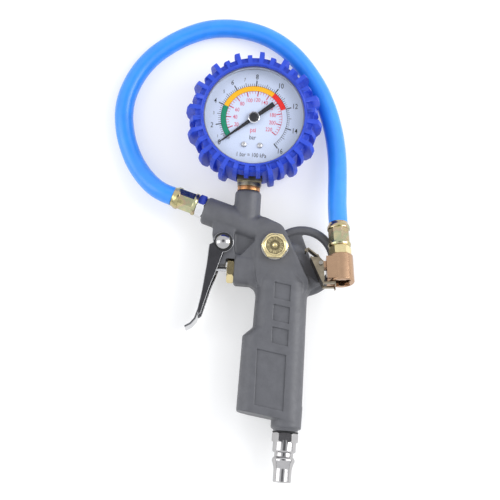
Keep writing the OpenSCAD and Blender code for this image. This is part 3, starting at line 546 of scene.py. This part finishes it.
class INFLATOR_OT_casting(bpy.types.Operator):
    """Make the cast body, with soft corners, crisp grip panels and satin paint"""
    bl_idname = "inflator.casting"
    bl_label = "Add Casting"

    def press_panels(self, obj):
        """Sharpens the walls of the panels in both sides of the grip."""
        panels = [(18.5 + 0.25 * k, -90.5 - 12.3 * k, 8.9, 8.9) for k in range(3)]
        panels.append((11.6, -127.8, 16, 30.2))
        low, high = (z / MM for z in (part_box("gun_body")[0].z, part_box("gun_body")[1].z))
        depth = 0.8
        bm = bmesh.new()
        for left, top, wide, tall in panels:
            drop = 0.15 * wide
            corners = ((left, top), (left + wide, top - drop),
                       (left + wide + 0.02 * tall, top - drop - tall),
                       (left + 0.03 * tall, top - tall))
            for base, end in ((low - 2, low + depth), (high - depth, high + 2)):
                lower = [bm.verts.new((x * MM, y * MM, base * MM)) for x, y in corners]
                upper = [bm.verts.new((x * MM, y * MM, end * MM)) for x, y in corners]
                bm.faces.new(lower)
                bm.faces.new(reversed(upper))
                for k in range(4):
                    n = (k + 1) % 4
                    bm.faces.new((lower[k], upper[k], upper[n], lower[n]))
        bmesh.ops.recalc_face_normals(bm, faces=bm.faces)
        mesh = bpy.data.meshes.new("panel_cutter")
        bm.to_mesh(mesh)
        bm.free()
        cutter = link(bpy.data.objects.new("panel_cutter", mesh))
        cut = obj.modifiers.new("panels", "BOOLEAN")
        cut.operation = "DIFFERENCE"
        cut.solver = "EXACT"
        cut.object = cutter
        bake_modifiers(obj)
        bpy.data.objects.remove(cutter)
        bpy.data.meshes.remove(mesh)

    def execute(self, context):
        settings = context.scene.inflator_casting
        obj = joined_copy("gun_body", "gun_casting")
        cells = obj.modifiers.new("cells", "REMESH")
        cells.mode = "VOXEL"
        cells.voxel_size = settings.grain
        cells.use_smooth_shade = True
        soften = obj.modifiers.new("soften", "SMOOTH")
        soften.factor = 0.5
        soften.iterations = settings.softening
        bake_modifiers(obj)
        self.press_panels(obj)
        smooth_shade(obj, 50)
        dress(obj, "gun_body", cast_paint(settings.paint))
        return {"FINISHED"}


class INFLATOR_OT_boot(bpy.types.Operator):
    """Make the rubber boot round the gauge"""
    bl_idname = "inflator.boot"
    bl_label = "Add Boot"

    def execute(self, context):
        settings = context.scene.inflator_boot
        rubber = moulded_rubber("boot_rubber", settings.rubber)
        turned("gauge_boot", "boot_moulded", rubber, settings.corner, 3, 24, weighted=False)
        return {"FINISHED"}


class INFLATOR_OT_gauge(bpy.types.Operator):
    """Finish the gauge's case, window, pointer, stem and movement"""
    bl_idname = "inflator.gauge"
    bl_label = "Add Gauge"

    def execute(self, context):
        metal = context.scene.inflator_metal
        dial = context.scene.inflator_dial
        steel = plated("gauge_steel", metal.steel, 0.3)
        brass = plated("movement_brass", metal.brass, 0.25, (8, 1, 1))
        black = ink("pointer_black", dial.black)
        olive = plated("stem_plate", (0.38, 0.34, 0.23), 0.34, (8, 1, 1), 0.35)
        turned("gauge_socket", "stem_square", olive, metal.edge * 1.5)
        turned("stem_washer", "stem_washer_copper", plated("washer_copper", (0.62, 0.30, 0.12), 0.3),
               metal.edge)
        paint_node("gauge_case", ink("case_enamel", (0.03, 0.03, 0.035)))
        paint_node("gauge_bezel", steel)
        paint_node("gauge_lens", clear_window())
        paint_node("dial_spacer", ink("spacer_grey", (0.35, 0.36, 0.38)))
        paint_node("dial_plate", dial_enamel(dial.face))
        paint_node("gauge_pointer", black)
        turned("dial_screws", "dial_screws_domed", steel, metal.edge * 0.5)
        turned("pointer_hub", "pointer_hub_ring", plated("hub_chrome", metal.chrome, 0.12),
               metal.edge)
        paint_node("pointer_stop_pin", steel)
        for node in ("pinion_arbor", "sector_gear", "tip_link", "movement_lower_plate",
                     "movement_upper_plate", "movement_pillars"):
            paint_node(node, brass)
        paint_node("sector_arbor", steel)
        paint_node("bourdon_tube", plated("tube_copper", (0.60, 0.30, 0.15), 0.3))
        hub_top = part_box("pointer_hub")[1].z
        bm = bmesh.new()
        bmesh.ops.create_uvsphere(bm, u_segments=32, v_segments=16, radius=1)
        bmesh.ops.transform(bm, verts=bm.verts, matrix=(
            Matrix.Translation((0, 0, hub_top)) @ Matrix.Diagonal((0.0023, 0.0023, 0.0005, 1))))
        cap = mesh_piece("pointer_cap", "pointer", bm, [black])
        cap.data.shade_smooth()
        return {"FINISHED"}


class INFLATOR_OT_dial_print(bpy.types.Operator):
    """Print the scales, the coloured band and the words on the dial"""
    bl_idname = "inflator.dial_print"
    bl_label = "Print Dial"

    def angle(self, bar):
        """Angle of a pressure on the dial; the first bar is cramped towards the stop."""
        top = math.pi / 2
        if bar >= 1:
            return top - (bar - 8) * self.dial.bar_angle
        one = top + 7 * self.dial.bar_angle
        return self.dial.zero_angle + (one - self.dial.zero_angle) * bar

    def band(self, name, inner, outer, first, last, material):
        """A flat arc between two pressures."""
        steps = max(4, round(abs(self.angle(last) - self.angle(first)) / math.radians(2)))
        bm = bmesh.new()
        rings = []
        for i in range(steps + 1):
            a = self.angle(first) + (self.angle(last) - self.angle(first)) * i / steps
            rings.append([bm.verts.new((r * math.cos(a), r * math.sin(a), z))
                          for r, z in ((inner, self.low), (outer, self.low),
                                       (outer, self.high), (inner, self.high))])
        for a, b in zip(rings, rings[1:]):
            for k in range(4):
                bm.faces.new((a[k], a[(k + 1) % 4], b[(k + 1) % 4], b[k]))
        bm.faces.new(rings[0])
        bm.faces.new(reversed(rings[-1]))
        return mesh_piece(name, ROOT, bm, [material])

    def words(self, name, entries, material):
        """One piece for many short texts; an entry is (text, x, y, capital height)."""
        bm = bmesh.new()
        for text, x, y, height in entries:
            data = bpy.data.curves.new(name, "FONT")
            data.body = text
            data.size = height / 0.73
            data.extrude = self.dial.ink / 2
            data.resolution_u = 3
            data.offset = height * 0.006
            data.align_x = "CENTER"
            data.align_y = "CENTER"
            letters = link(bpy.data.objects.new(name, data))
            graph = bpy.context.evaluated_depsgraph_get()
            mesh = bpy.data.meshes.new_from_object(letters.evaluated_get(graph))
            mesh.transform(Matrix.Translation((x, y, (self.low + self.high) / 2))
                           @ Matrix.Diagonal((0.80, 1, 1, 1)))
            bm.from_mesh(mesh)
            bpy.data.objects.remove(letters)
            bpy.data.curves.remove(data)
            bpy.data.meshes.remove(mesh)
        bmesh.ops.remove_doubles(bm, verts=bm.verts, dist=1e-7)
        return mesh_piece(name, ROOT, bm, [material])

    def around(self, bar, radius):
        a = self.angle(bar)
        return radius * math.cos(a), radius * math.sin(a)

    def execute(self, context):
        self.dial = dial = context.scene.inflator_dial
        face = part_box("dial_plate")[1].z
        self.low = face + 0.00001
        self.high = self.low + dial.ink
        black = ink("ink_black", dial.black)
        grey = ink("ink_grey", (0.05, 0.05, 0.06))
        red = ink("ink_red", dial.red)
        for name, first, last, tint in (("band_green", 0, 4, (0.001, 0.235, 0.125)),
                                        ("band_yellow", 4, 10, (1.0, 0.47, 0.008)),
                                        ("band_red", 10, 12, (0.82, 0.018, 0.014))):
            self.band(name, 15.5 * MM, 18.5 * MM, first, last, ink(name + "_ink", tint))
        self.band("baseline_bar", 18.35 * MM, 18.55 * MM, 0, 16, black)
        self.band("baseline_psi", 15.45 * MM, 15.65 * MM, 0, 220 / 14.504, red)

        tree = scale_marks_tree()
        step = -dial.bar_angle
        flat = {"thickness": dial.ink, "height": self.low}
        cramped = (self.angle(1) - self.angle(0)) / 5
        scale_marks("marks_bar_fifths", tree, grey, count=76, first_angle=self.angle(1),
                    step=step / 5, start_radius=18.5 * MM, length=1.4 * MM, width=0.27 * MM, **flat)
        scale_marks("marks_bar_first", tree, grey, count=5, first_angle=self.angle(0),
                    step=cramped, start_radius=18.5 * MM, length=1.4 * MM, width=0.27 * MM, **flat)
        scale_marks("marks_bar_ones", tree, grey, count=16, first_angle=self.angle(1),
                    step=step, start_radius=18.5 * MM, length=2.2 * MM, width=0.32 * MM, **flat)
        scale_marks("marks_bar_twos", tree, black, count=8, first_angle=self.angle(2),
                    step=step * 2, start_radius=18.3 * MM, length=3.3 * MM, width=0.60 * MM, **flat)
        scale_marks("mark_bar_zero", tree, black, count=1, first_angle=self.angle(0),
                    step=0.0, start_radius=18.3 * MM, length=3.3 * MM, width=0.60 * MM, **flat)
        psi = step / 14.504
        scale_marks("marks_psi_fives", tree, red, count=41, first_angle=self.angle(20 / 14.504),
                    step=psi * 5, start_radius=13.9 * MM, length=1.6 * MM, width=0.26 * MM, **flat)
        scale_marks("marks_psi_twenties", tree, red, count=11,
                    first_angle=self.angle(20 / 14.504), step=psi * 20,
                    start_radius=12.6 * MM, length=2.9 * MM, width=0.58 * MM, **flat)
        scale_marks("mark_psi_zero", tree, red, count=1, first_angle=self.angle(0), step=0.0,
                    start_radius=12.6 * MM, length=2.9 * MM, width=0.58 * MM, **flat)

        self.words("numbers_bar", [(str(n), *self.around(n, 23.7 * MM), 3.0 * MM)
                                   for n in range(0, 17, 2)], black)
        self.words("numbers_bar_odd", [(str(n), *self.around(n, 22.6 * MM), 1.9 * MM)
                                       for n in range(1, 8, 2)], grey)
        self.words("numbers_psi", [(str(n), *self.around(n / 14.504, 10.5 * MM), 2.3 * MM)
                                   for n in range(0, 221, 20)], red)
        self.words("word_psi", [("psi", 0, -6.9 * MM, 2.8 * MM)], red)
        self.words("words_units", [("bar", 0, -11.2 * MM, 2.6 * MM),
                                   ("1 bar = 100 kPa", 0, -21.2 * MM, 2.4 * MM)], grey)
        return {"FINISHED"}


class INFLATOR_OT_fittings(bpy.types.Operator):
    """Finish the trigger, the valve, the side plug, the hose nut and the air inlet"""
    bl_idname = "inflator.fittings"
    bl_label = "Add Fittings"

    def execute(self, context):
        metal = context.scene.inflator_metal
        chrome = plated("bright_chrome", metal.chrome, 0.12, (1, 8, 1), 0.06)
        dark = plated("dark_chrome", (0.36, 0.36, 0.37), 0.13, (1, 6, 1), 0.1)
        nickel = plated("plug_nickel", (0.46, 0.45, 0.45), 0.16, (1, 10, 1), 0.05)
        brass = plated("fitting_brass", metal.brass, 0.20, (1, 1, 1), 0.03, 0.0000003)
        steel = plated("fitting_steel", metal.steel, 0.28)
        rubber = black_rubber()
        turned("inlet_plug", "inlet_plug_turned", nickel, metal.edge)
        turned("trigger_lever", "trigger_pressed", dark, metal.edge * 2.2, 4, clamp=False)
        turned("trigger_pin", "trigger_pin_domed", nickel, metal.edge)
        turned("side_cap_nut", "side_plug_hex", brass, metal.edge * 0.3, 1, weighted=False)
        turned("side_cap_washer", "side_plug_washer", steel, metal.edge)
        turned("valve_gland_nut", "gland_nut_hex", brass, metal.edge)
        turned("hose_nut", "hose_nut_hex", chrome, metal.edge)
        turned("push_rod", "push_rod_ground", steel, metal.edge * 0.5)
        turned("pin_washer", "pin_washer_black", rubber, metal.edge)
        turned("pin_end_ring", "pin_end_ring_steel", steel, metal.edge)
        for node, material in (("inlet_seal", rubber), ("gland_seal", rubber),
                               ("poppet_seal", rubber), ("valve_seat", brass),
                               ("valve_poppet", brass), ("valve_spring", steel)):
            paint_node(node, material)
        return {"FINISHED"}


class INFLATOR_OT_stage(bpy.types.Operator):
    """Add the pale floor and the soft lights"""
    bl_idname = "inflator.stage"
    bl_label = "Add Stage"

    def lamp(self, name, place, target, size, power, tint=(1, 1, 1)):
        data = bpy.data.lights.new(name, "AREA")
        data.shape = "RECTANGLE"
        data.size, data.size_y = size
        data.energy = power
        data.color = tint
        obj = link(bpy.data.objects.new(name, data))
        obj.location = place
        obj.rotation_euler = (Vector(target) - Vector(place)).to_track_quat("-Z", "Y").to_euler()
        return obj

    def studio(self, settings):
        """Pale surroundings with a dark patch straight above, which bright metal picks up."""
        world = bpy.data.worlds.new("studio")
        world.use_nodes = True
        tree = world.node_tree
        join = tree.links.new
        place = tree.nodes.new("ShaderNodeTexCoord").outputs["Generated"]
        parts = tree.nodes.new("ShaderNodeSeparateXYZ")
        join(place, parts.inputs[0])
        towards = tree.nodes.new("ShaderNodeVectorMath")
        towards.operation = "DOT_PRODUCT"
        join(place, towards.inputs[0])
        towards.inputs[1].default_value = (0.0, math.sin(settings.lean), math.cos(settings.lean))
        low = (0.95 * settings.sky, 0.97 * settings.sky, settings.sky, 1)
        dark = (settings.overhead, settings.overhead, settings.overhead * 1.1, 1)

        def band(value, stops):
            made = tree.nodes.new("ShaderNodeValToRGB")
            join(value, made.inputs["Fac"])
            for element, (position, shade_at) in zip(made.color_ramp.elements, stops):
                element.position = position
                element.color = shade_at
            return made.outputs["Color"]

        mixed = tree.nodes.new("ShaderNodeMix")
        mixed.data_type = "RGBA"
        mixed.blend_type = "DARKEN"
        mixed.inputs["Factor"].default_value = 1.0
        join(band(parts.outputs["Z"], ((0.03, dark), (0.10, low))), mixed.inputs["A"])
        join(band(towards.outputs["Value"], ((0.935, low), (0.978, dark))), mixed.inputs["B"])
        join(mixed.outputs["Result"], tree.nodes["Background"].inputs["Color"])
        return world

    def execute(self, context):
        settings = context.scene.inflator_stage
        bm = bmesh.new()
        bmesh.ops.create_grid(bm, x_segments=1, y_segments=1, size=4)
        mesh = bpy.data.meshes.new("floor")
        bmesh.ops.translate(bm, verts=bm.verts, vec=(0, 0, -0.00005))
        bm.to_mesh(mesh)
        bm.free()
        floor = link(bpy.data.objects.new("floor", mesh))
        f = Finish("floor_paper", roughness=0.9)
        f.set(Base_Color=f.ramp(f.noise(3, 3), [(0.3, shade(settings.floor, 0.99)),
                                                (0.7, shade(settings.floor, 1.01))]),
              Emission_Color=(1.0, 1.0, 1.0, 1), Emission_Strength=settings.glow)
        mesh.materials.append(f.material)
        middle = (0.0, -0.07, 0.0)
        self.lamp("key_light", (0.95, 0.15, 0.70), middle, (0.6, 0.9), settings.key)
        self.lamp("fill_light", (-0.95, -0.1, 0.6), middle, (0.5, 0.9), settings.fill)
        context.scene.world = self.studio(settings)
        context.scene.view_settings.view_transform = "Standard"
        return {"FINISHED"}


class INFLATOR_PT_panel(bpy.types.Panel):
    """Lists the inflator's operators and settings"""
    bl_idname = "INFLATOR_PT_panel"
    bl_label = "Tyre Inflator"
    bl_space_type = "VIEW_3D"
    bl_region_type = "UI"
    bl_category = "Inflator"

    def draw(self, context):
        for operator in OPERATORS:
            self.layout.operator(operator.bl_idname)
        for name, group in SETTINGS.items():
            box = self.layout.box()
            for prop in group.__annotations__:
                box.prop(getattr(context.scene, name), prop)


OPERATORS = (INFLATOR_OT_camera, INFLATOR_OT_hose, INFLATOR_OT_chuck, INFLATOR_OT_casting,
             INFLATOR_OT_boot, INFLATOR_OT_gauge, INFLATOR_OT_dial_print, INFLATOR_OT_fittings,
             INFLATOR_OT_stage)
SETTINGS = {
    "inflator_casting": CastingSettings,
    "inflator_boot": BootSettings,
    "inflator_dial": DialSettings,
    "inflator_hose": HoseSettings,
    "inflator_metal": MetalSettings,
    "inflator_stage": StageSettings,
}


def register():
    for group in SETTINGS.values():
        bpy.utils.register_class(group)
    for name, group in SETTINGS.items():
        setattr(bpy.types.Scene, name, PointerProperty(type=group))
    for operator in OPERATORS:
        bpy.utils.register_class(operator)
    bpy.utils.register_class(INFLATOR_PT_panel)


def unregister():
    bpy.utils.unregister_class(INFLATOR_PT_panel)
    for operator in reversed(OPERATORS):
        bpy.utils.unregister_class(operator)
    for name in SETTINGS:
        delattr(bpy.types.Scene, name)
    for group in SETTINGS.values():
        bpy.utils.unregister_class(group)


def main():
    """Registers the add-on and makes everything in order."""
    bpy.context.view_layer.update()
    register()
    for operator in OPERATORS:
        family, name = operator.bl_idname.split(".")
        getattr(getattr(bpy.ops, family), name)()


if __name__ == "__main__":
    main()
